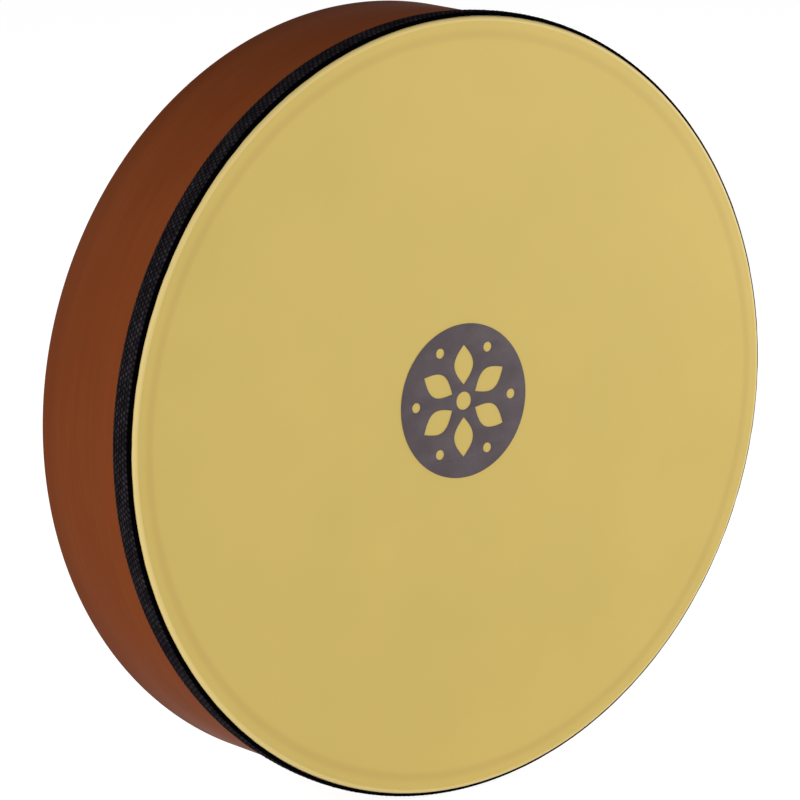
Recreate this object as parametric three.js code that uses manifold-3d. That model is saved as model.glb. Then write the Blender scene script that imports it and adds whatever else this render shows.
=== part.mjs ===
// A 14 inch frame drum with a fixed head, standing upright on its edge.
// The drum's axis lies along Y, the playing face looks along -Y and the open back along +Y.
// The origin is on the ground, under the middle of the drum. Units are millimetres, +Z is up.
// The shell is a plywood hoop of five bent strips. The head is a film that is bonded over the
// shell's front edge and down its side, and a woven band covers the film's cut edge.
import * as THREE from 'three';
import { mergeVertices } from 'three/addons/utils/BufferGeometryUtils.js';
import Module from 'manifold-3d';

const wasm = await Module();
wasm.setup();

// Driving dimensions
const SHELL_RADIUS = 177.8;
const SHELL_WALL = 7.5;
const DRUM_DEPTH = 73.8; // from the playing face to the back rim
const PLY_COUNT = 5;
const FACETS = 72; // an even number, so that one flat facet lies at the very bottom

const FILM_THICKNESS = 0.4;
const GLUE_THICKNESS = 0.15;
const FIT_GAP = 0.05; // air left between neighbouring pieces
const SEAM_GAP = 0.3; // between the two ends of a bent strip

const BEARING_SLOPE = 0.033; // how fast the front edge falls back, outwards from the inner corner
const BEARING_ROUND = 1.35; // radius of the front edge's outer corner
const BACK_ROUND = 1; // radius of the two corners of the back rim
const ROUND_STEPS = 4;

const BAND_FRONT = 1.7; // the band's two edges, behind the playing face
const BAND_BACK = 15;
const BAND_CREST = 6; // where the band is thickest, behind the playing face
const BAND_THICKNESS = 2.2; // at its crest
const BAND_REAR_DROP = 0.8; // how much thinner the band is at its rear edge
const BAND_CORNER = 0.4; // bevel of the band's rear edge
const BAND_STEPS = 6; // of its rounded front, and of its slightly domed back
const FILM_END = 13.5; // the film's cut edge, behind the playing face
const GLUE_END = 13;

const EMBLEM_RADIUS = 35.6;
const EMBLEM_THICKNESS = 0.12;
const EMBLEM_RISE = 3.5; // the emblem's centre, above the drum's axis
const EMBLEM_SHIFT = 2.1; // and to its side, along +X
const EMBLEM_SIDES = 60;
const PETAL_COUNT = 6;
const PETAL_INNER = 7.5;
const PETAL_OUTER = 26;
const PETAL_HALF_WIDTH = 5.4;
const PETAL_STEPS = 6;
const EYE_RADIUS = 4.2;
const DOT_RADIUS = 2.3;
const DOT_CIRCLE = 27;
const DOT_SIDES = 12;

// Derived dimensions
const SHELL_INNER = SHELL_RADIUS - SHELL_WALL;
const FILM_OFFSET = GLUE_THICKNESS + 2 * FIT_GAP; // the film's inner side, off the wood
const CROWN_DEPTH = FILM_OFFSET + FILM_THICKNESS; // the wood's foremost corner, behind the face
const FILM_OUTER = SHELL_RADIUS + FILM_OFFSET + FILM_THICKNESS;
const BAND_GLUE_INNER = FILM_OUTER + FIT_GAP;
const BAND_INNER = BAND_GLUE_INNER + GLUE_THICKNESS + FIT_GAP;
const BAND_OUTER = BAND_INNER + BAND_THICKNESS;
const AXIS_HEIGHT = BAND_OUTER * Math.cos(Math.PI / FACETS);
const FACE_Y = -DRUM_DEPTH / 2;
const FACE_RING = EMBLEM_RADIUS + EMBLEM_RISE + EMBLEM_SHIFT + 2; // the plain part of the face starts here

// Materials
const finish = (color, roughness) => new THREE.MeshStandardMaterial({ color, roughness, metalness: 0 });
const stainedFace = finish(0x73381f, 0.35);
const crossPly = finish(0xb08a5c, 0.7);
const corePly = finish(0x9c7448, 0.7);
const innerFace = finish(0x7d4526, 0.45);
const filmFinish = finish(0xcfb970, 0.6);
const glueFinish = finish(0xd8cba4, 0.5);
const bandFinish = finish(0x0d0c0d, 0.95);
const inkFinish = finish(0x554b4e, 0.8);

// A closed ring or disc around the drum's axis. The outline is a list of [radius, depth] points,
// with the depth measured behind the playing face.
function turned(outline) {
  const points = outline.map(([radius, depth]) => new THREE.Vector2(radius, FACE_Y + depth));
  return new THREE.LatheGeometry(points, FACETS, Math.PI / FACETS);
}

function ring(outline) {
  return turned([...outline, outline[0]]);
}

// A closed geometry as a manifold-3d solid, and back.
function toSolid(geometry) {
  geometry.deleteAttribute('normal');
  geometry.deleteAttribute('uv');
  const merged = mergeVertices(geometry, 1e-3);
  const vertProperties = merged.attributes.position.array;
  const triVerts = new Uint32Array(merged.index.array);
  return new wasm.Manifold(new wasm.Mesh({ numProp: 3, vertProperties, triVerts }));
}

function toGeometry(solid) {
  const mesh = solid.getMesh();
  const geometry = new THREE.BufferGeometry();
  geometry.setAttribute('position', new THREE.BufferAttribute(mesh.vertProperties, 3));
  geometry.setIndex(new THREE.BufferAttribute(mesh.triVerts, 1));
  return geometry;
}

// Opens a ring at one angle, as a bent strip whose ends meet there. Angles run from straight up
// towards +X, in degrees.
function openedAt(ringGeometry, degrees, radius) {
  const cutter = new THREE.BoxGeometry(SEAM_GAP, 2 * DRUM_DEPTH, 4 * SHELL_WALL);
  cutter.translate(0, 0, radius);
  cutter.rotateY(THREE.MathUtils.degToRad(degrees));
  return toGeometry(toSolid(ringGeometry).subtract(toSolid(cutter)));
}

// The wood's front edge, from its inner corner outwards and round to the side of the shell. Each
// point carries the outward normal, so that the film and the glue can lie at a distance from it.
function bearingEdge() {
  const slopeAngle = Math.atan(BEARING_SLOPE);
  const slopeNormal = [Math.sin(slopeAngle), -Math.cos(slopeAngle)];
  const roundCentre = SHELL_RADIUS - BEARING_ROUND;
  const slopeEnd = roundCentre + BEARING_ROUND * slopeNormal[0];
  const slopeEndDepth = CROWN_DEPTH + (slopeEnd - SHELL_INNER) * BEARING_SLOPE;
  const centreDepth = slopeEndDepth - BEARING_ROUND * slopeNormal[1];
  const edge = [{ at: [SHELL_INNER, CROWN_DEPTH], normal: slopeNormal }];
  for (let step = 0; step <= ROUND_STEPS; step += 1) {
    const angle = slopeAngle + (step / ROUND_STEPS) * (Math.PI / 2 - slopeAngle);
    const normal = [Math.sin(angle), -Math.cos(angle)];
    const at = [roundCentre + BEARING_ROUND * normal[0], centreDepth + BEARING_ROUND * normal[1]];
    edge.push({ at, normal });
  }
  return edge;
}

const EDGE = bearingEdge();
const offEdge = (point, distance) => [
  point.at[0] + distance * point.normal[0],
  point.at[1] + distance * point.normal[1],
];

// The wood's front outline between two radii.
function frontBetween(inner, outer) {
  const depthAt = (radius) => {
    const next = Math.max(1, EDGE.findIndex((point) => point.at[0] >= radius - 1e-6));
    const [r0, d0] = EDGE[next - 1].at;
    const [r1, d1] = EDGE[next].at;
    return d0 + ((radius - r0) / (r1 - r0)) * (d1 - d0);
  };
  const between = EDGE.map((point) => point.at).filter(([r]) => r > inner + 1e-3 && r < outer - 1e-3);
  return [[inner, depthAt(inner)], ...between, [outer, depthAt(outer)]];
}

// The wood's back outline between two radii, from the outside in, with the rim's corners rounded.
function backBetween(inner, outer) {
  const corner = (radius, side) => {
    const points = [];
    for (let step = 0; step <= ROUND_STEPS / 2; step += 1) {
      const angle = (step / (ROUND_STEPS / 2)) * (Math.PI / 2);
      const inset = BACK_ROUND * (1 - Math.cos(angle));
      points.push([radius - side * inset, DRUM_DEPTH - BACK_ROUND * (1 - Math.sin(angle))]);
    }
    return side > 0 ? points : points.reverse();
  };
  const outside = outer === SHELL_RADIUS ? corner(outer, 1) : [[outer, DRUM_DEPTH]];
  const inside = inner === SHELL_INNER ? corner(inner, -1) : [[inner, DRUM_DEPTH]];
  return [...outside, ...inside];
}

const drum = new THREE.Group();
drum.position.z = AXIS_HEIGHT;

function add(name, geometry, material) {
  const mesh = new THREE.Mesh(geometry, material);
  mesh.name = name;
  drum.add(mesh);
  return mesh;
}

// The shell's plies, from the outside in. Their butt seams are spread round the hoop.
const PLIES = [
  ['outer_face_ply', stainedFace, 128],
  ['outer_cross_ply', crossPly, 272],
  ['core_ply', corePly, 56],
  ['inner_cross_ply', crossPly, 344],
  ['inner_face_ply', innerFace, 200],
];
const plyPitch = SHELL_WALL / PLY_COUNT;
PLIES.forEach(([name, material, seamAngle], index) => {
  const outer = SHELL_RADIUS - index * plyPitch;
  const innermost = index === PLY_COUNT - 1;
  const inner = innermost ? SHELL_INNER : outer - plyPitch + FIT_GAP;
  const strip = ring([...frontBetween(inner, outer), ...backBetween(inner, outer)]);
  add(name, openedAt(strip, seamAngle, (inner + outer) / 2), material);
});

// The glue that holds the film's tension, over the round of the edge and down the shell's side.
function edgeLayer(near, far, points, endDepth) {
  const front = points.map((point) => offEdge(point, far));
  const back = points.map((point) => offEdge(point, near)).reverse();
  return [...front, [SHELL_RADIUS + far, endDepth], [SHELL_RADIUS + near, endDepth], ...back];
}
const glueOutline = edgeLayer(FIT_GAP, FIT_GAP + GLUE_THICKNESS, EDGE.slice(1), GLUE_END);
add('head_adhesive', ring(glueOutline), glueFinish);

// The head: a flat film that turns over the edge and ends under the band.
function headOutline() {
  const far = FILM_OFFSET + FILM_THICKNESS;
  const layer = edgeLayer(FILM_OFFSET, far, EDGE.slice(1), FILM_END);
  const lip = SHELL_INNER;
  return [[0, 0], [FACE_RING, 0], [lip, 0], ...layer, [lip, FILM_THICKNESS], [0, FILM_THICKNESS]];
}
add('head_film', turned(headOutline()), filmFinish);

// The band: a rounded front that rises to the crest, then a slight dome down to the rear edge.
function bandOutline() {
  const outline = [];
  for (let step = 0; step <= BAND_STEPS; step += 1) {
    const angle = (step / BAND_STEPS) * (Math.PI / 2);
    const depth = BAND_FRONT + (BAND_CREST - BAND_FRONT) * (1 - Math.cos(angle));
    outline.push([BAND_INNER + BAND_THICKNESS * Math.sin(angle), depth]);
  }
  for (let step = 1; step <= BAND_STEPS; step += 1) {
    const share = step / BAND_STEPS;
    const depth = BAND_CREST + share * (BAND_BACK - BAND_CORNER - BAND_CREST);
    outline.push([BAND_OUTER - BAND_REAR_DROP * share ** 2, depth]);
  }
  outline.push([BAND_OUTER - BAND_REAR_DROP - BAND_CORNER, BAND_BACK], [BAND_INNER, BAND_BACK]);
  return outline;
}
const BAND_SEAM = 158;
const bandGlueFront = EDGE[EDGE.length - 1].at[1] + FIT_GAP;
const bandGlueOuter = BAND_GLUE_INNER + GLUE_THICKNESS;
const bandGlueOutline = [
  [BAND_GLUE_INNER, bandGlueFront],
  [bandGlueOuter, bandGlueFront],
  [bandGlueOuter, FILM_END],
  [BAND_GLUE_INNER, FILM_END],
];
add('band_adhesive', ring(bandGlueOutline), glueFinish);
add('woven_band', openedAt(ring(bandOutline()), BAND_SEAM, BAND_INNER), bandFinish);

// The printed emblem: a dark disc with an eye, six petals and six dots left open in it.
function circlePoints(radius, sides, centreX = 0, centreY = 0) {
  return Array.from({ length: sides }, (_, side) => {
    const angle = (side / sides) * 2 * Math.PI;
    return new THREE.Vector2(centreX + radius * Math.cos(angle), centreY + radius * Math.sin(angle));
  });
}

function petalPoints(angle) {
  const points = [];
  for (let step = 0; step < 2 * PETAL_STEPS; step += 1) {
    const along = step < PETAL_STEPS ? step / PETAL_STEPS : 2 - step / PETAL_STEPS;
    const side = step < PETAL_STEPS ? 1 : -1;
    const reach = PETAL_INNER + along * (PETAL_OUTER - PETAL_INNER);
    const half = side * PETAL_HALF_WIDTH * Math.sin(Math.PI * along);
    points.push(new THREE.Vector2(reach, half).rotateAround(new THREE.Vector2(), angle));
  }
  return points;
}

function emblemGeometry() {
  const disc = new THREE.Shape(circlePoints(EMBLEM_RADIUS, EMBLEM_SIDES));
  disc.holes.push(new THREE.Path(circlePoints(EYE_RADIUS, DOT_SIDES)));
  for (let petal = 0; petal < PETAL_COUNT; petal += 1) {
    const angle = (petal / PETAL_COUNT) * 2 * Math.PI + Math.PI / 2;
    const between = angle + Math.PI / PETAL_COUNT;
    const dotX = DOT_CIRCLE * Math.cos(between);
    const dotY = DOT_CIRCLE * Math.sin(between);
    disc.holes.push(new THREE.Path(petalPoints(angle)));
    disc.holes.push(new THREE.Path(circlePoints(DOT_RADIUS, DOT_SIDES, dotX, dotY)));
  }
  return new THREE.ExtrudeGeometry(disc, { depth: EMBLEM_THICKNESS, bevelEnabled: false });
}
const emblem = add('printed_emblem', emblemGeometry(), inkFinish);
emblem.rotation.x = Math.PI / 2;
emblem.position.set(EMBLEM_SHIFT, FACE_Y - FIT_GAP, EMBLEM_RISE);

export default drum;
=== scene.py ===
"""A frame drum with a fixed gold head, a plywood hoop and a woven edge band, standing on its edge.

Every round piece is described by a radius, a depth behind the playing face and a turn about the
drum's axis. The turn is measured from straight up towards +X. All lengths are in metres.
"""
import math

import bmesh
import bpy
import numpy as np
from mathutils import Matrix, Vector


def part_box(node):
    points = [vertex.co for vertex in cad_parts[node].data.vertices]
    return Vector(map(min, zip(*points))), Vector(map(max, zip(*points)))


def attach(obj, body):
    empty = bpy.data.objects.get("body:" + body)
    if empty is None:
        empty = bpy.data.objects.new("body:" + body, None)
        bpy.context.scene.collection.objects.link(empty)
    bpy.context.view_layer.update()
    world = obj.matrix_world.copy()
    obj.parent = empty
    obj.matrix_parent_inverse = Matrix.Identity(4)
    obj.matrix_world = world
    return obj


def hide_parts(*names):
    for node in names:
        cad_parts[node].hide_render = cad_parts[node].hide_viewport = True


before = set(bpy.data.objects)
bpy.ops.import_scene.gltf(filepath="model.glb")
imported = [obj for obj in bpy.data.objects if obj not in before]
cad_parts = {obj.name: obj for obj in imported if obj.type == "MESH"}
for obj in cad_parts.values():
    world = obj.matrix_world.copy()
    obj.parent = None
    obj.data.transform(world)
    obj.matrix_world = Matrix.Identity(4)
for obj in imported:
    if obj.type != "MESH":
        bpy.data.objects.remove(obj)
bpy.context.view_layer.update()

MM = 0.001
BODY = "root"

# Places taken from the frame
FACE_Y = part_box("head_film")[0].y
BACK_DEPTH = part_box("inner_face_ply")[1].y - FACE_Y
AXIS_Z = sum(corner.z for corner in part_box("woven_band")) / 2


def node_radii(node):
    """The smallest and largest distance of a node's corners from the drum's axis.

    A strip's ends are cut across one of its flats, where the corners lie nearer to the axis. So the
    smallest is 0.07 to 0.16 mm less than along the rest of its inner side, and the round strips
    overlap their inner neighbours by 0.02 to 0.1 mm.
    """
    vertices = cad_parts[node].data.vertices
    distances = [math.hypot(vertex.co.x, vertex.co.z - AXIS_Z) for vertex in vertices]
    return min(distances), max(distances)


SHELL_INNER = node_radii("inner_face_ply")[0]
SHELL_OUTER = node_radii("outer_face_ply")[1]
FILM_OUTER = node_radii("head_film")[1]
BAND_INNER = node_radii("woven_band")[0]
# The faceted band stands on one of its flats, so the round one reaches out only that far.
BAND_OUTER = AXIS_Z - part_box("woven_band")[0].z

# The wood's front edge, and the layers over it
FILM_THICKNESS = 0.4 * MM
FILM_OFFSET = FILM_OUTER - FILM_THICKNESS - SHELL_OUTER  # the film's inner side, off the wood
CROWN_DEPTH = FILM_OFFSET + FILM_THICKNESS
BEARING_SLOPE = 0.033
BEARING_ROUND = 1.35 * MM
BACK_ROUND = 1 * MM
ROUND_CENTRE = SHELL_OUTER - BEARING_ROUND
SLOPE_ANGLE = math.atan(BEARING_SLOPE)
# Depth of the round's centre, where the sloping edge runs smoothly into the round
CENTRE_DEPTH = (
    CROWN_DEPTH
    + (ROUND_CENTRE + BEARING_ROUND * math.sin(SLOPE_ANGLE) - SHELL_INNER) * BEARING_SLOPE
    + BEARING_ROUND * math.cos(SLOPE_ANGLE)
)
FILM_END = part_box("head_film")[1].y - FACE_Y
LIP_SOFTNESS = 0.8 * MM  # how gently the film bends over the shell's inner corner
SHOULDER_START = SHELL_INNER - 4 * MM  # from here outwards the film's face has closer steps
RIPPLE_HEIGHT = 0.02 * MM
BARE_UNDERSIDE = SHELL_INNER + 1 * MM  # the film's underside shows up to this radius
HEAD_GLUE_INNER = SHELL_OUTER + 0.05 * MM
HEAD_GLUE_OUTER = SHELL_OUTER + 0.2 * MM
HEAD_GLUE_END = FILM_END - 0.5 * MM

AROUND = 576  # steps round the drum, of the plain pieces
SEAM_GAP = 0.3 * MM
# Where each strip's ends meet, as a turn in degrees
PLY_SEAMS = {
    "outer_face_ply": 128,
    "outer_cross_ply": 272,
    "core_ply": 56,
    "inner_cross_ply": 344,
    "inner_face_ply": 200,
}
BAND_SEAM = 158

# The band's weave
BAND_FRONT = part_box("woven_band")[0].y - FACE_Y
BAND_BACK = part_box("woven_band")[1].y - FACE_Y
BAND_CREST = 6 * MM  # where the band is thickest, behind the playing face
BAND_THICKNESS = BAND_OUTER - BAND_INNER
BAND_REAR_DROP = 0.8 * MM  # how much thinner it is at its rear edge
REAR_ROUND = 0.6 * MM
WEAVE_REPEAT = 2.61 * MM  # from one raised yarn to the next in the same column
COLUMN_PITCH = 2 * MM
STEPS_PER_REPEAT = 6
YARN_HEIGHT = 0.24 * MM
WEAKEST_YARN = 0.6  # height of the lowest raised yarn, as a share of the highest
SEED_COLUMNS = 16  # columns of random strengths, used over again across the band
CROSSING = 0.4  # height of the yarns that cross between the raised ones, as a share of theirs
REAR_SCALLOP = 0.2 * MM
REAR_EDGE_WIDTH = 0.7 * MM  # how much of the band's rear takes part in the scallops
NOSE_WAVE = 0.12 * MM  # unevenness of the band's front edge
NOSE_REACH = 2 * MM  # how far back that unevenness fades out

# The emblem: an eye, petals and dots left open in a printed disc
PETAL_COUNT = 6
PETAL_INNER = 7.5 * MM
PETAL_OUTER = 26 * MM
PETAL_HALF_WIDTH = 5.4 * MM
EYE_RADIUS = 4.2 * MM
DOT_RADIUS = 2.3 * MM
DOT_CIRCLE = 27 * MM
INK_BEVEL = 0.02 * MM

# The studio: how brightly the surround and the floor light the drum, and how the camera sees them
HORIZON_GLOW = 0.32
OVERHEAD_GLOW = 0.1
BACKDROP_GLOW = 1.05
FLOOR_GLOW = 0.72
FLOOR_GLOW_SEEN = 0.92
FLOOR_HALF_WIDTH = 14

JOIN_DISTANCE = 1e-7  # points closer than this are one point
CREASE_ANGLE = 38  # degrees, above which an edge is shaded sharp


# ---------------------------------------------------------------- meshes

def arc(start, end, count):
    """Angles from start to end, in degrees, as radians."""
    return np.radians(np.linspace(start, end, count))


def around(count, seam=None):
    """Turns of a closed ring, or of a strip that opens at its seam."""
    if seam is None:
        return np.linspace(0, 2 * math.pi, count, endpoint=False)
    gap = SEAM_GAP / SHELL_OUTER
    start = math.radians(seam) + gap / 2
    return np.linspace(start, start + 2 * math.pi - gap, count + 1)


def place(radius, depth, turn):
    """Points in the row frame, as an array whose last axis is x, y, z."""
    return np.stack([radius * np.sin(turn), FACE_Y + depth, AXIS_Z + radius * np.cos(turn)], axis=-1)


def build(name, points, along, across, closed_round):
    """A closed mesh from a grid of points: one row for each turn, one column for each outline point.

    along and across are the strip's own coordinates in metres, kept as a UV map: along runs round
    the drum, and across follows the outline from its first point.
    """
    rows, columns = points.shape[:2]
    index = np.arange(rows * columns).reshape(rows, columns)
    row_from = np.arange(rows if closed_round else rows - 1)
    column_from = np.arange(columns)
    row, column = (grid.ravel() for grid in np.meshgrid(row_from, column_from, indexing="ij"))
    corners = [(row, column), (row, column + 1), (row + 1, column + 1), (row + 1, column)]
    quads = np.stack([index[r % rows, c % columns] for r, c in corners], axis=1)
    uv = np.stack([np.stack([along[r], across[c]], axis=1) for r, c in corners], axis=1)

    faces = quads.tolist()
    coordinates = uv.reshape(-1, 2).tolist()
    if not closed_round:
        for end in (index[0], index[-1]):
            faces.append(end.tolist())
            coordinates += [[0.0, 0.0]] * columns
    mesh = bpy.data.meshes.new(name)
    mesh.from_pydata(points.reshape(-1, 3).tolist(), [], faces)
    layer = mesh.uv_layers.new(name="strip")
    layer.data.foreach_set("uv", np.array(coordinates).ravel())
    tidy_mesh(mesh)
    piece = bpy.data.objects.new(name, mesh)
    bpy.context.scene.collection.objects.link(piece)
    return piece


def tidy_mesh(mesh):
    """Joins points that coincide, turns the faces outwards and shades round surfaces smooth."""
    shape = bmesh.new()
    shape.from_mesh(mesh)
    bmesh.ops.remove_doubles(shape, verts=shape.verts, dist=JOIN_DISTANCE)
    bmesh.ops.recalc_face_normals(shape, faces=shape.faces)
    shape.to_mesh(mesh)
    shape.free()
    mesh.shade_smooth()
    mesh.set_sharp_from_angle(angle=math.radians(CREASE_ANGLE))


def outline_lengths(outline):
    """Distance along a closed outline, to each of its points and back to the first."""
    closed = np.vstack([outline, outline[:1]])
    return np.concatenate([[0], np.cumsum(np.linalg.norm(np.diff(closed, axis=0), axis=1))])


def ring(name, outline, seam=None, count=AROUND, ripple=None):
    """A ring of that outline of (radius, depth) points. ripple gives a depth to add at each point."""
    outline = np.array(outline)
    turn = around(count, seam)[:, None]
    radius = np.repeat(outline[None, :, 0], len(turn), axis=0)
    depth = np.repeat(outline[None, :, 1], len(turn), axis=0)
    if ripple is not None:
        depth = depth + ripple(radius, turn)
    turns = np.append(turn[:, 0], turn[0, 0] + 2 * math.pi)
    along = (turns - turns[0]) * SHELL_OUTER
    return build(name, place(radius, depth, turn), along, outline_lengths(outline), seam is None)


def finish_piece(piece, node, slot_name, *materials):
    """Makes a piece stand for its node, with its materials. Its slot name is not used."""
    for material in materials:
        piece.data.materials.append(material)
    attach(piece, BODY)
    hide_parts(node)
    return piece


# ---------------------------------------------------------------- material helpers

class Shader:
    """A material whose nodes are added one by one."""

    def __init__(self, name):
        self.material = bpy.data.materials.new(name)
        self.material.use_nodes = True
        self.nodes = self.material.node_tree.nodes
        self.links = self.material.node_tree.links
        self.surface = self.nodes["Principled BSDF"]

    def add(self, kind, values=None, **settings):
        """A node with those settings, whose input sockets take values or other nodes' outputs."""
        node = self.nodes.new(kind)
        for key, value in settings.items():
            setattr(node, key, value)
        for key, value in (values or {}).items():
            self.feed(node.inputs[key], value)
        return node

    def feed(self, socket, value):
        """Gives a socket a constant value, or links another node's output to it."""
        if isinstance(value, bpy.types.NodeSocket):
            self.links.new(value, socket)
        else:
            socket.default_value = value

    def set(self, **values):
        """Sets the surface's sockets, whose names are written with _ for a space."""
        for key, value in values.items():
            self.feed(self.surface.inputs[key.replace("_", " ")], value)

    def strip(self, along, across):
        """The strip's coordinates, multiplied by so many cells a metre each way."""
        uv = self.add("ShaderNodeUVMap", uv_map="strip").outputs[0]
        scale = {0: uv, 1: (along, across, 1)}
        return self.add("ShaderNodeVectorMath", scale, operation="MULTIPLY").outputs[0]

    def solid(self, cells):
        """The row frame's coordinates, multiplied by so many cells a metre."""
        position = self.add("ShaderNodeTexCoord").outputs["Object"]
        scale = {0: position, 1: (cells, cells, cells)}
        return self.add("ShaderNodeVectorMath", scale, operation="MULTIPLY").outputs[0]

    def noise(self, vector, detail=4, roughness=0.55, distortion=0):
        values = {
            "Vector": vector, "Scale": 1, "Detail": detail,
            "Roughness": roughness, "Distortion": distortion,
        }
        return self.add("ShaderNodeTexNoise", values).outputs["Fac"]

    def remap(self, value, low, high, to_low=0, to_high=1, smooth=False):
        values = {"Value": value, "From Min": low, "From Max": high, "To Min": to_low, "To Max": to_high}
        kind = "SMOOTHSTEP" if smooth else "LINEAR"
        return self.add("ShaderNodeMapRange", values, interpolation_type=kind).outputs[0]

    def math(self, operation, *operands):
        return self.add("ShaderNodeMath", dict(enumerate(operands)), operation=operation).outputs[0]

    def mix(self, factor, first, second):
        """The first colour where the factor is 0, the second where it is 1."""
        node = self.add("ShaderNodeMix", data_type="RGBA")
        sockets = [s for s in node.inputs if s.type == "RGBA"]
        self.feed(node.inputs[0], factor)
        self.feed(sockets[0], first)
        self.feed(sockets[1], second)
        return next(s for s in node.outputs if s.type == "RGBA")

    def bump(self, height, distance, strength):
        values = {"Height": height, "Distance": distance, "Strength": strength}
        return self.add("ShaderNodeBump", values).outputs[0]


def linear(red, green, blue):
    """A linear colour, given by its 8-bit screen values."""
    def channel(value):
        share = value / 255
        return share / 12.92 if share <= 0.04045 else ((share + 0.055) / 1.055) ** 2.4
    return (channel(red), channel(green), channel(blue), 1)


# ---------------------------------------------------------------- materials

def lacquered_veneer():
    """Stained outer veneer under lacquer, with its grain along the hoop.

    Painted light makes it a little paler beside the band, and painted shade a little darker near the
    back rim.
    """
    shader = Shader("lacquered_veneer")
    grain = shader.noise(shader.strip(14, 520), detail=6, roughness=0.6, distortion=0.3)
    pores = shader.noise(shader.strip(120, 2900), detail=2)
    cloud = shader.noise(shader.strip(7, 22), detail=3)
    colour = shader.mix(shader.remap(grain, 0.3, 0.7), linear(115, 58, 29), linear(124, 64, 32))
    colour = shader.mix(shader.remap(cloud, 0.3, 0.7, 0, 0.45), colour, linear(108, 51, 24))
    colour = shader.mix(shader.remap(pores, 0.62, 0.78, 0, 0.35), colour, linear(74, 35, 17))
    across = shader.add("ShaderNodeSeparateXYZ", {0: shader.strip(1, 1)}).outputs[1]
    # Painted light: the wood is painted paler just behind the band.
    painted_light_near_band = shader.remap(across, 14 * MM, 40 * MM, 0.25, 0, smooth=True)
    colour = shader.mix(painted_light_near_band, colour, linear(130, 64, 31))
    # Painted shade: the wood is painted darker towards its back rim.
    painted_shade_near_back = shader.remap(across, 58 * MM, 70 * MM, 0, 0.3, smooth=True)
    colour = shader.mix(painted_shade_near_back, colour, linear(88, 42, 19))
    shader.set(
        Base_Color=colour,
        Roughness=shader.remap(cloud, 0.2, 0.8, 0.36, 0.46),
        Specular_IOR_Level=0.006,
        Normal=shader.bump(shader.math("ADD", grain, pores), 0.02 * MM, 0.35),
    )
    return shader.material


def plain_veneer(name, light, dark, along, across, roughness):
    """A veneer with so many cells of grain a metre, along the strip and across it."""
    shader = Shader(name)
    grain = shader.noise(shader.strip(along, across), detail=6, roughness=0.65, distortion=0.4)
    fibres = shader.noise(shader.strip(along * 9, across * 4), detail=2)
    colour = shader.mix(shader.remap(grain, 0.3, 0.7), dark, light)
    colour = shader.mix(shader.remap(fibres, 0.56, 0.75, 0, 0.4), colour, dark)
    shader.set(
        Base_Color=colour,
        Roughness=shader.remap(fibres, 0.2, 0.8, roughness, roughness + 0.15),
        Normal=shader.bump(fibres, 0.03 * MM, 0.5),
    )
    return shader.material


def film_face():
    """Matt gold film with a very fine grain, and a painted highlight where it turns over the edge.

    A faint ring shows where it lies on the shell's inner corner.
    """
    shader = Shader("film_face")
    grain = shader.noise(shader.solid(2600), detail=3, roughness=0.7)
    cloud = shader.noise(shader.solid(16), detail=3)
    uv = shader.add("ShaderNodeUVMap", uv_map="strip").outputs[0]
    from_centre = shader.add("ShaderNodeSeparateXYZ", {0: uv}).outputs[1]
    ring_middle = SHELL_INNER + 0.3 * MM
    rising = shader.remap(from_centre, SHELL_INNER - 3 * MM, ring_middle, smooth=True)
    falling = shader.remap(from_centre, ring_middle, SHELL_INNER + 4 * MM, 1, 0, smooth=True)
    ring_shade = shader.math("MULTIPLY", shader.math("MULTIPLY", rising, falling), 0.28)
    colour = shader.mix(shader.remap(cloud, 0.3, 0.7), linear(196, 172, 95), linear(201, 176, 98))
    colour = shader.mix(shader.remap(grain, 0.25, 0.75, 0, 0.12), colour, linear(181, 156, 84))
    colour = shader.mix(ring_shade, colour, linear(175, 140, 78))
    # Painted highlight: the film's round over the shell's edge is painted paler, where the lights'
    # reflection falls.
    round_start, round_end = ROUND_CENTRE - 0.2 * MM, ROUND_CENTRE + 0.5 * MM
    painted_edge_highlight = shader.remap(from_centre, round_start, round_end, 0, 0.56, smooth=True)
    colour = shader.mix(painted_edge_highlight, colour, linear(223, 200, 138))
    shader.set(
        Base_Color=colour,
        Roughness=shader.remap(grain, 0.2, 0.8, 0.36, 0.44),
        Specular_IOR_Level=0.15,
        Normal=shader.bump(grain, 0.012 * MM, 0.5),
    )
    return shader.material


def film_back():
    """The film's bare underside, paler than its face."""
    shader = Shader("film_back")
    grain = shader.noise(shader.solid(900), detail=4)
    cloud = shader.noise(shader.solid(11), detail=3)
    colour = shader.mix(shader.remap(cloud, 0.3, 0.7), linear(221, 208, 160), linear(228, 216, 172))
    colour = shader.mix(shader.remap(grain, 0.4, 0.8, 0, 0.2), colour, linear(205, 190, 140))
    shader.set(
        Base_Color=colour,
        Roughness=shader.remap(grain, 0.2, 0.8, 0.45, 0.58),
        Normal=shader.bump(grain, 0.01 * MM, 0.4),
    )
    return shader.material


def cotton():
    """Black cotton yarn with fine fibres, with painted light on the crests of the weave and painted
    shade in its hollows.
    """
    shader = Shader("black_cotton")
    relief = shader.add("ShaderNodeAttribute", attribute_name="relief").outputs["Fac"]
    fibres = shader.noise(shader.strip(5200, 900), detail=4, roughness=0.7)
    patches = shader.noise(shader.strip(60, 240), detail=3)
    # Painted light and shade: by the height of the weave, its crests are painted lighter and its hollows
    # near black.
    painted_lit_crest = shader.mix(shader.remap(patches, 0.3, 0.7), linear(37, 34, 38), linear(63, 58, 63))
    colour = shader.mix(shader.remap(relief, 0.15, 1, smooth=True), linear(2, 2, 3), painted_lit_crest)
    colour = shader.mix(shader.remap(fibres, 0.5, 0.75, 0, 0.5), colour, linear(12, 11, 13))
    shader.set(
        Base_Color=colour,
        Roughness=0.92,
        Specular_IOR_Level=0.004,
        Normal=shader.bump(fibres, 0.06 * MM, 0.7),
    )
    return shader.material


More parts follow.
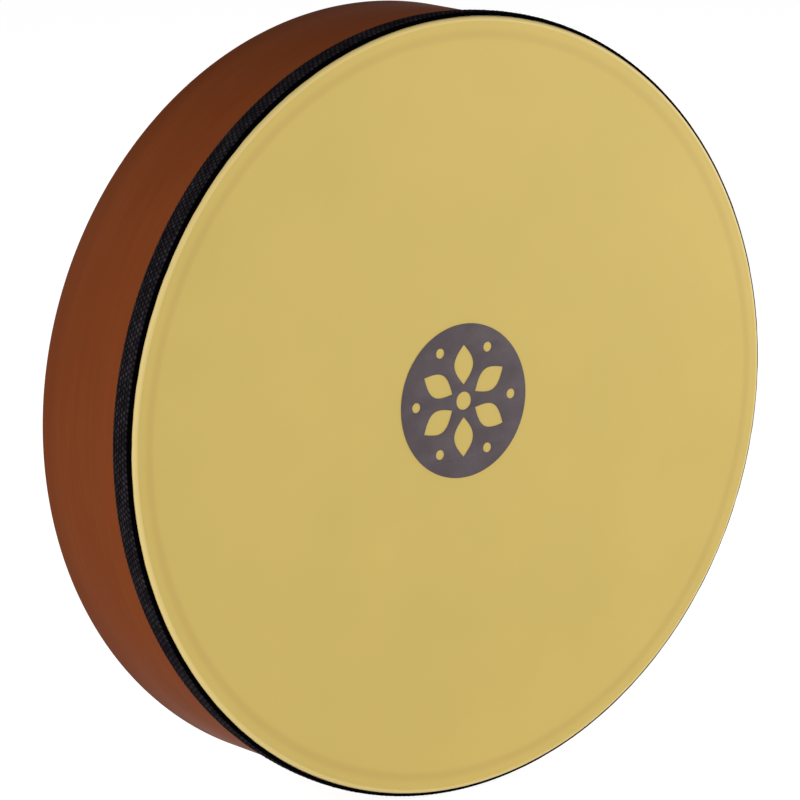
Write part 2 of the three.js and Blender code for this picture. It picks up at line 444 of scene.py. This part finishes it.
def ink():
    """Dark printing ink, a little uneven, on the film."""
    shader = Shader("printing_ink")
    grain = shader.noise(shader.solid(1500), detail=3, roughness=0.7)
    cloud = shader.noise(shader.solid(90), detail=3)
    colour = shader.mix(shader.remap(cloud, 0.3, 0.7), linear(78, 69, 72), linear(88, 78, 82))
    colour = shader.mix(shader.remap(grain, 0.5, 0.8, 0, 0.4), colour, linear(63, 55, 58))
    shader.set(
        Base_Color=colour,
        Roughness=shader.remap(grain, 0.2, 0.8, 0.55, 0.7),
        Specular_IOR_Level=0.2,
        Normal=shader.bump(grain, 0.01 * MM, 0.5),
    )
    return shader.material


def dried_glue():
    """Pale, slightly blotchy glue."""
    shader = Shader("dried_glue")
    blotch = shader.noise(shader.solid(140), detail=4)
    colour = shader.mix(shader.remap(blotch, 0.3, 0.7), linear(226, 216, 180), linear(206, 190, 142))
    shader.set(
        Base_Color=colour,
        Roughness=shader.remap(blotch, 0.2, 0.8, 0.3, 0.5),
        Normal=shader.bump(blotch, 0.05 * MM, 0.5),
    )
    return shader.material


def pale_floor():
    """A floor that glows towards the drum, and a little more as the camera sees it directly."""
    shader = Shader("pale_floor")
    speckle = shader.noise(shader.solid(40), detail=2)
    shade = shader.remap(speckle, 0.2, 0.8)
    seen_directly = shader.add("ShaderNodeLightPath").outputs["Is Camera Ray"]
    shader.set(
        Base_Color=shader.mix(shade, (0.3, 0.3, 0.3, 1), (0.32, 0.32, 0.32, 1)),
        Roughness=0.9,
        Specular_IOR_Level=0.1,
        Emission_Color=(1, 1, 1, 1),
        Emission_Strength=shader.remap(seen_directly, 0, 1, FLOOR_GLOW, FLOOR_GLOW_SEEN),
    )
    return shader.material


# ---------------------------------------------------------------- the shell

def wood_front(radius):
    """Depth of the wood's front edge at a radius."""
    slope = CROWN_DEPTH + (radius - SHELL_INNER) * BEARING_SLOPE
    reach = min(max(radius - ROUND_CENTRE, 0), BEARING_ROUND)
    rounded = CENTRE_DEPTH - math.sqrt(BEARING_ROUND**2 - reach**2)
    return slope if reach < BEARING_ROUND * math.sin(SLOPE_ANGLE) else rounded


def back_corner(radius, inwards):
    """The back rim's rounded corner, from a ply's side at that radius to the rim.

    inwards is the sign of the way from the side into the wood.
    """
    return [
        (
            radius + inwards * BACK_ROUND * (1 - math.cos(angle)),
            BACK_DEPTH - BACK_ROUND * (1 - math.sin(angle)),
        )
        for angle in arc(0, 90, 5)
    ]


def ply_outline(inner, outer):
    """From the front inner corner outwards, back along the outside, and in along the back rim."""
    shares = 1 - np.cos(arc(0, 90, 10)) if outer == SHELL_OUTER else np.linspace(0, 1, 4)
    outline = [(radius, wood_front(radius)) for radius in inner + shares * (outer - inner)]
    outline += back_corner(outer, -1) if outer == SHELL_OUTER else [(outer, BACK_DEPTH)]
    outline += back_corner(inner, 1)[::-1] if inner == SHELL_INNER else [(inner, BACK_DEPTH)]
    return outline


def build_shell():
    """Five plies, one inside the other. The cross plies' grain runs from front to back."""
    cross = plain_veneer("cross_veneer", linear(223, 171, 116), linear(171, 119, 71), 700, 60, 0.6)
    lacquered = lacquered_veneer()
    core = plain_veneer("core_veneer", linear(180, 126, 76), linear(135, 88, 50), 16, 700, 0.6)
    inside = plain_veneer("inner_veneer", linear(164, 97, 59), linear(130, 71, 40), 14, 420, 0.42)
    finishes = {
        "outer_face_ply": ("stained_veneer", lacquered),
        "outer_cross_ply": ("cross_veneer", cross),
        "core_ply": ("core_veneer", core),
        "inner_cross_ply": ("cross_veneer", cross),
        "inner_face_ply": ("inner_veneer", inside),
    }
    for node, seam in PLY_SEAMS.items():
        inner, outer = node_radii(node)
        slot_name, material = finishes[node]
        piece = ring(node + "_strip", ply_outline(inner, outer), seam)
        finish_piece(piece, node, slot_name, material)


# ---------------------------------------------------------------- the head

def film_depth(radius):
    """The film's face: flat, then falling gently outwards from the shell's inner corner."""
    bend = np.logaddexp(0, (radius - SHELL_INNER) / LIP_SOFTNESS) * LIP_SOFTNESS
    return BEARING_SLOPE * bend


def film_ripple(radius, turn):
    """The slight unevenness of the shoulder, where the film was drawn over the edge."""
    on_shoulder = np.clip((radius - SHELL_INNER) / (2 * MM), 0, 1)
    waves = np.sin(11 * turn) + 0.7 * np.sin(17 * turn + 1.3) + 0.5 * np.sin(29 * turn + 0.4)
    return RIPPLE_HEIGHT * on_shoulder * waves


def bent_film(radius_of_round, angles):
    """Points of an arc about the centre of the shell's front round."""
    return [
        (
            ROUND_CENTRE + radius_of_round * math.sin(angle),
            CENTRE_DEPTH - radius_of_round * math.cos(angle),
        )
        for angle in angles
    ]


def film_outline():
    """From the centre outwards along the face, down the outside, and back along the inside."""
    outer_round = BEARING_ROUND + CROWN_DEPTH
    inner_round = BEARING_ROUND + FILM_OFFSET
    round_start = ROUND_CENTRE + outer_round * math.sin(SLOPE_ANGLE)
    flat = np.linspace(0, SHOULDER_START, 14)[:-1]
    shoulder = np.linspace(SHOULDER_START, round_start, 24)[:-1]
    face = [(radius, float(film_depth(radius))) for radius in (*flat, *shoulder)]
    bend = np.linspace(SLOPE_ANGLE, math.pi / 2, 14)
    outside = bent_film(outer_round, bend) + [(FILM_OUTER, FILM_END)]
    inside = [(FILM_OUTER - FILM_THICKNESS, FILM_END)] + bent_film(inner_round, bend[::-1])
    underside = [
        (radius, float(film_depth(radius)) + FILM_THICKNESS) for radius in (*shoulder[::-3], *flat[::-2])
    ]
    return face + outside + inside + underside + [(0, FILM_THICKNESS)]


def build_head():
    piece = ring("drum_head", film_outline(), ripple=film_ripple)
    finish_piece(piece, "head_film", "head_film", film_face(), film_back())
    behind = FACE_Y + 0.5 * FILM_THICKNESS
    for polygon in piece.data.polygons:
        inward = math.hypot(polygon.center.x, polygon.center.z - AXIS_Z) < BARE_UNDERSIDE
        polygon.material_index = 1 if inward and polygon.center.y > behind else 0


def build_head_glue():
    outline = [
        (HEAD_GLUE_INNER, CENTRE_DEPTH), (HEAD_GLUE_OUTER, CENTRE_DEPTH),
        (HEAD_GLUE_OUTER, HEAD_GLUE_END), (HEAD_GLUE_INNER, HEAD_GLUE_END),
    ]
    finish_piece(ring("head_glue", outline), "head_adhesive", "glue", dried_glue())


# ---------------------------------------------------------------- the band

def band_outline():
    """The band's cross-section: its points, their outward directions and their share of the relief.

    A rounded front, a gently falling top, a rounded rear corner and a flat underside.
    """
    rows = []
    for angle in arc(0, 90, 11):
        radius = BAND_INNER + BAND_THICKNESS * math.sin(angle)
        depth = BAND_FRONT + (BAND_CREST - BAND_FRONT) * (1 - math.cos(angle))
        # The relief starts part way up the front and is full well before the crest.
        share = min(max((math.sin(angle) - 0.5) / 0.4, 0), 1)
        rows.append((radius, depth, math.sin(angle), -math.cos(angle), share))
    dome_end = BAND_BACK - REAR_ROUND
    for part in np.linspace(0, 1, 22)[1:]:
        radius = BAND_OUTER - BAND_REAR_DROP * part**2
        rows.append((radius, BAND_CREST + part * (dome_end - BAND_CREST), 1, 0, 1))
    for angle in arc(30, 90, 3):
        radius = BAND_OUTER - BAND_REAR_DROP - REAR_ROUND * (1 - math.cos(angle))
        depth = dome_end + REAR_ROUND * math.sin(angle)
        rows.append((radius, depth, math.cos(angle), math.sin(angle), 1 - 0.4 * math.sin(angle)))
    rows.append((BAND_INNER, BAND_BACK, 0, 0, 0))
    rows = np.array(rows)
    return rows[:, :2], rows[:, 2:4], rows[:, 4]


def weave_height(along, across, seeds):
    """Height of the plain weave, from 0 to 1, at places along and across the band.

    Yarns are raised once in each repeat, and half a repeat later in every second column.
    """
    column = across / COLUMN_PITCH
    which_column = np.floor(column).astype(int)
    repeat = along / WEAVE_REPEAT + 0.5 * (which_column % 2)
    raised = 0.5 + 0.5 * np.cos(2 * math.pi * repeat)
    crossing = CROSSING * (0.5 - 0.5 * np.cos(2 * math.pi * repeat))
    rounded = np.abs(np.sin(math.pi * column)) ** 0.5
    which_yarn = np.round(repeat).astype(int) % seeds.shape[0]
    strength = seeds[which_yarn, which_column % seeds.shape[1]]
    return (raised * strength + crossing) * (0.25 + 0.75 * rounded)


def build_band():
    outline, outward, share = band_outline()
    repeats = round(2 * math.pi * BAND_OUTER / WEAVE_REPEAT)
    turn = around(repeats * STEPS_PER_REPEAT, BAND_SEAM)[:, None]
    lengths = outline_lengths(outline)
    along = (turn - turn[0]) * BAND_OUTER
    random = np.random.default_rng(7)
    seeds = random.uniform(WEAKEST_YARN, 1.0, (repeats, SEED_COLUMNS))
    weave = weave_height(along, lengths[None, :-1], seeds)
    lift = share * YARN_HEIGHT * (weave - 1)
    radius = outline[:, 0] + lift * outward[:, 0]
    rear = outline[:, 1] > BAND_BACK - REAR_EDGE_WIDTH
    nose = np.clip(1 - (outline[:, 1] - BAND_FRONT) / NOSE_REACH, 0, 1)
    # The sum runs from -3 to 3 at most. Adding 3 keeps the front edge from coming forwards.
    wave = np.sin(43 * turn) + np.sin(71 * turn + 1) + np.sin(113 * turn + 2)
    scallop = REAR_SCALLOP * rear * np.cos(2 * math.pi * along / WEAVE_REPEAT)
    depth = outline[:, 1] + lift * outward[:, 1] + scallop + NOSE_WAVE / 3 * nose * (wave + 3)
    piece = build("edge_band", place(radius, depth, turn), along[:, 0], lengths, False)
    # The relief also sets where the band's painted light and shade fall.
    attribute = piece.data.attributes.new("relief", "FLOAT", "POINT")
    attribute.data.foreach_set("value", (share * weave).ravel())
    finish_piece(piece, "woven_band", "woven_band", cotton())


def build_band_glue():
    inner, outer = node_radii("band_adhesive")
    low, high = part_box("band_adhesive")
    front, back = low.y - FACE_Y, high.y - FACE_Y
    glue = ring("band_glue", [(inner, front), (outer, front), (outer, back), (inner, back)])
    finish_piece(glue, "band_adhesive", "glue", dried_glue())


# ---------------------------------------------------------------- the emblem

def circle(count, radius, x=0, z=0):
    """So many points on a circle whose centre is at x, z."""
    return [
        (radius * math.cos(angle) + x, radius * math.sin(angle) + z)
        for angle in np.linspace(0, 2 * math.pi, count, endpoint=False)
    ]


def petal(angle, steps=20):
    """One petal's outline, widest halfway along it."""
    points = []
    way_out = [(step / steps, 1) for step in range(steps)]
    way_back = [(1 - step / steps, -1) for step in range(steps)]
    for share, side in way_out + way_back:
        reach = PETAL_INNER + share * (PETAL_OUTER - PETAL_INNER)
        half = side * PETAL_HALF_WIDTH * math.sin(math.pi * share)
        points.append((
            reach * math.cos(angle) - half * math.sin(angle),
            reach * math.sin(angle) + half * math.cos(angle),
        ))
    return points


def emblem_loops(radius):
    """The disc's outline, and the openings in it: the eye, the petals and a dot between two petals."""
    loops = [circle(240, radius), circle(48, EYE_RADIUS)]
    for number in range(PETAL_COUNT):
        angle = math.pi / 2 + number * 2 * math.pi / PETAL_COUNT
        between = angle + math.pi / PETAL_COUNT
        x, z = DOT_CIRCLE * math.cos(between), DOT_CIRCLE * math.sin(between)
        loops.append(petal(angle))
        loops.append(circle(32, DOT_RADIUS, x, z))
    return loops


def build_emblem():
    low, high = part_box("printed_emblem")
    thickness = high.y - low.y
    curve = bpy.data.curves.new("emblem_curve", "CURVE")
    curve.dimensions = "2D"
    curve.fill_mode = "BOTH"
    curve.extrude = thickness / 2 - INK_BEVEL
    curve.bevel_depth = INK_BEVEL
    curve.bevel_resolution = 1
    for loop in emblem_loops((high.x - low.x) / 2 - INK_BEVEL):
        spline = curve.splines.new("POLY")
        spline.points.add(len(loop) - 1)
        for point, (x, z) in zip(spline.points, loop):
            point.co = (x, z, 0, 1)
        spline.use_cyclic_u = True
    drawn = bpy.data.objects.new("emblem_drawing", curve)
    bpy.context.scene.collection.objects.link(drawn)
    bpy.context.view_layer.update()
    mesh = bpy.data.meshes.new_from_object(drawn)
    bpy.data.objects.remove(drawn)
    upright = Matrix.Rotation(math.pi / 2, 4, "X")
    mesh.transform(Matrix.Translation((low + high) / 2) @ upright)
    tidy_mesh(mesh)
    piece = bpy.data.objects.new("emblem_print", mesh)
    bpy.context.scene.collection.objects.link(piece)
    finish_piece(piece, "printed_emblem", "ink", ink())


# ---------------------------------------------------------------- the studio

def build_floor():
    """A flat square that the drum stands on. It is part of the studio and not of the drum."""
    mesh = bpy.data.meshes.new("studio_floor")
    reach = FLOOR_HALF_WIDTH
    corners = [(-reach, -reach, 0), (reach, -reach, 0), (reach, reach, 0), (-reach, reach, 0)]
    mesh.from_pydata(corners, [], [(0, 1, 2, 3)])
    floor = bpy.data.objects.new("studio_floor", mesh)
    bpy.context.scene.collection.objects.link(floor)
    mesh.materials.append(pale_floor())


def direction_at(azimuth, elevation):
    """A direction from the drum's middle, by its angles in degrees.

    Azimuth 0 is straight out of the playing face, and a larger one turns towards +X.
    """
    turn, rise = math.radians(azimuth), math.radians(elevation)
    return Vector((
        math.sin(turn) * math.cos(rise),
        -math.cos(turn) * math.cos(rise),
        math.sin(rise),
    ))


def softbox(name, azimuth, elevation, distance, size, power):
    """A square area light aimed at the drum's middle. The angles are in degrees."""
    direction = direction_at(azimuth, elevation)
    lamp = bpy.data.lights.new(name, "AREA")
    lamp.size = size
    lamp.energy = power
    box = bpy.data.objects.new(name, lamp)
    box.location = Vector((0, 0, AXIS_Z)) + direction * distance
    box.rotation_euler = direction.to_track_quat("Z", "Y").to_euler()
    bpy.context.scene.collection.objects.link(box)


def build_sky():
    """A dim surround, darker overhead, which the camera sees as a white backdrop."""
    world = bpy.data.worlds.new("studio")
    world.use_nodes = True
    nodes, links = world.node_tree.nodes, world.node_tree.links
    direction = nodes.new("ShaderNodeTexCoord").outputs["Generated"]
    height = nodes.new("ShaderNodeSeparateXYZ")
    dim = nodes.new("ShaderNodeMapRange")
    ranges = {"From Min": 0, "From Max": 1, "To Min": HORIZON_GLOW, "To Max": OVERHEAD_GLOW}
    for socket, value in ranges.items():
        dim.inputs[socket].default_value = value
    seen_directly = nodes.new("ShaderNodeLightPath").outputs["Is Camera Ray"]
    strength = nodes.new("ShaderNodeMix")
    strength.inputs["B"].default_value = BACKDROP_GLOW
    links.new(direction, height.inputs[0])
    links.new(height.outputs["Z"], dim.inputs["Value"])
    links.new(seen_directly, strength.inputs["Factor"])
    links.new(dim.outputs[0], strength.inputs["A"])
    links.new(strength.outputs[0], nodes["Background"].inputs["Strength"])
    nodes["Background"].inputs["Color"].default_value = (1, 1, 1, 1)
    bpy.context.scene.world = world


def build_lights():
    """A large light from the left, a small near one from the right, and one for views from behind."""
    softbox("left_softbox", azimuth=-64, elevation=20, distance=3.0, size=1.7, power=57)
    softbox("right_softbox", azimuth=62, elevation=12, distance=1.3, size=0.9, power=11.5)
    softbox("back_softbox", azimuth=180, elevation=4, distance=2.2, size=0.6, power=12)
    build_sky()
    bpy.context.scene.view_settings.view_transform = "Standard"


def build_camera():
    """A long lens from the front left, a little above the drum's axis."""
    azimuth, elevation = -37.04, 11.84
    distance, right_of_middle, above_middle = 2.4929, 0.02623, -0.00377
    aim_depth = 1.5 * MM
    sensor_mm, lens_mm = 36, 247.5
    turn = math.radians(azimuth)
    right = Vector((math.cos(turn), math.sin(turn), 0))
    back = direction_at(azimuth, elevation)
    up = back.cross(right)
    middle = Vector((0, FACE_Y + aim_depth, AXIS_Z))
    position = middle - right_of_middle * right - above_middle * up + distance * back
    data = bpy.data.cameras.new("studio_camera")
    data.sensor_width = sensor_mm
    data.lens = lens_mm
    data.clip_end = 100
    camera = bpy.data.objects.new("studio_camera", data)
    facing = Matrix((right, up, back)).transposed().to_4x4()
    camera.matrix_world = Matrix.Translation(position) @ facing
    bpy.context.scene.collection.objects.link(camera)
    bpy.context.scene.camera = camera


build_camera()
build_shell()
build_head()
build_head_glue()
build_band()
build_band_glue()
build_emblem()
build_floor()
build_lights()
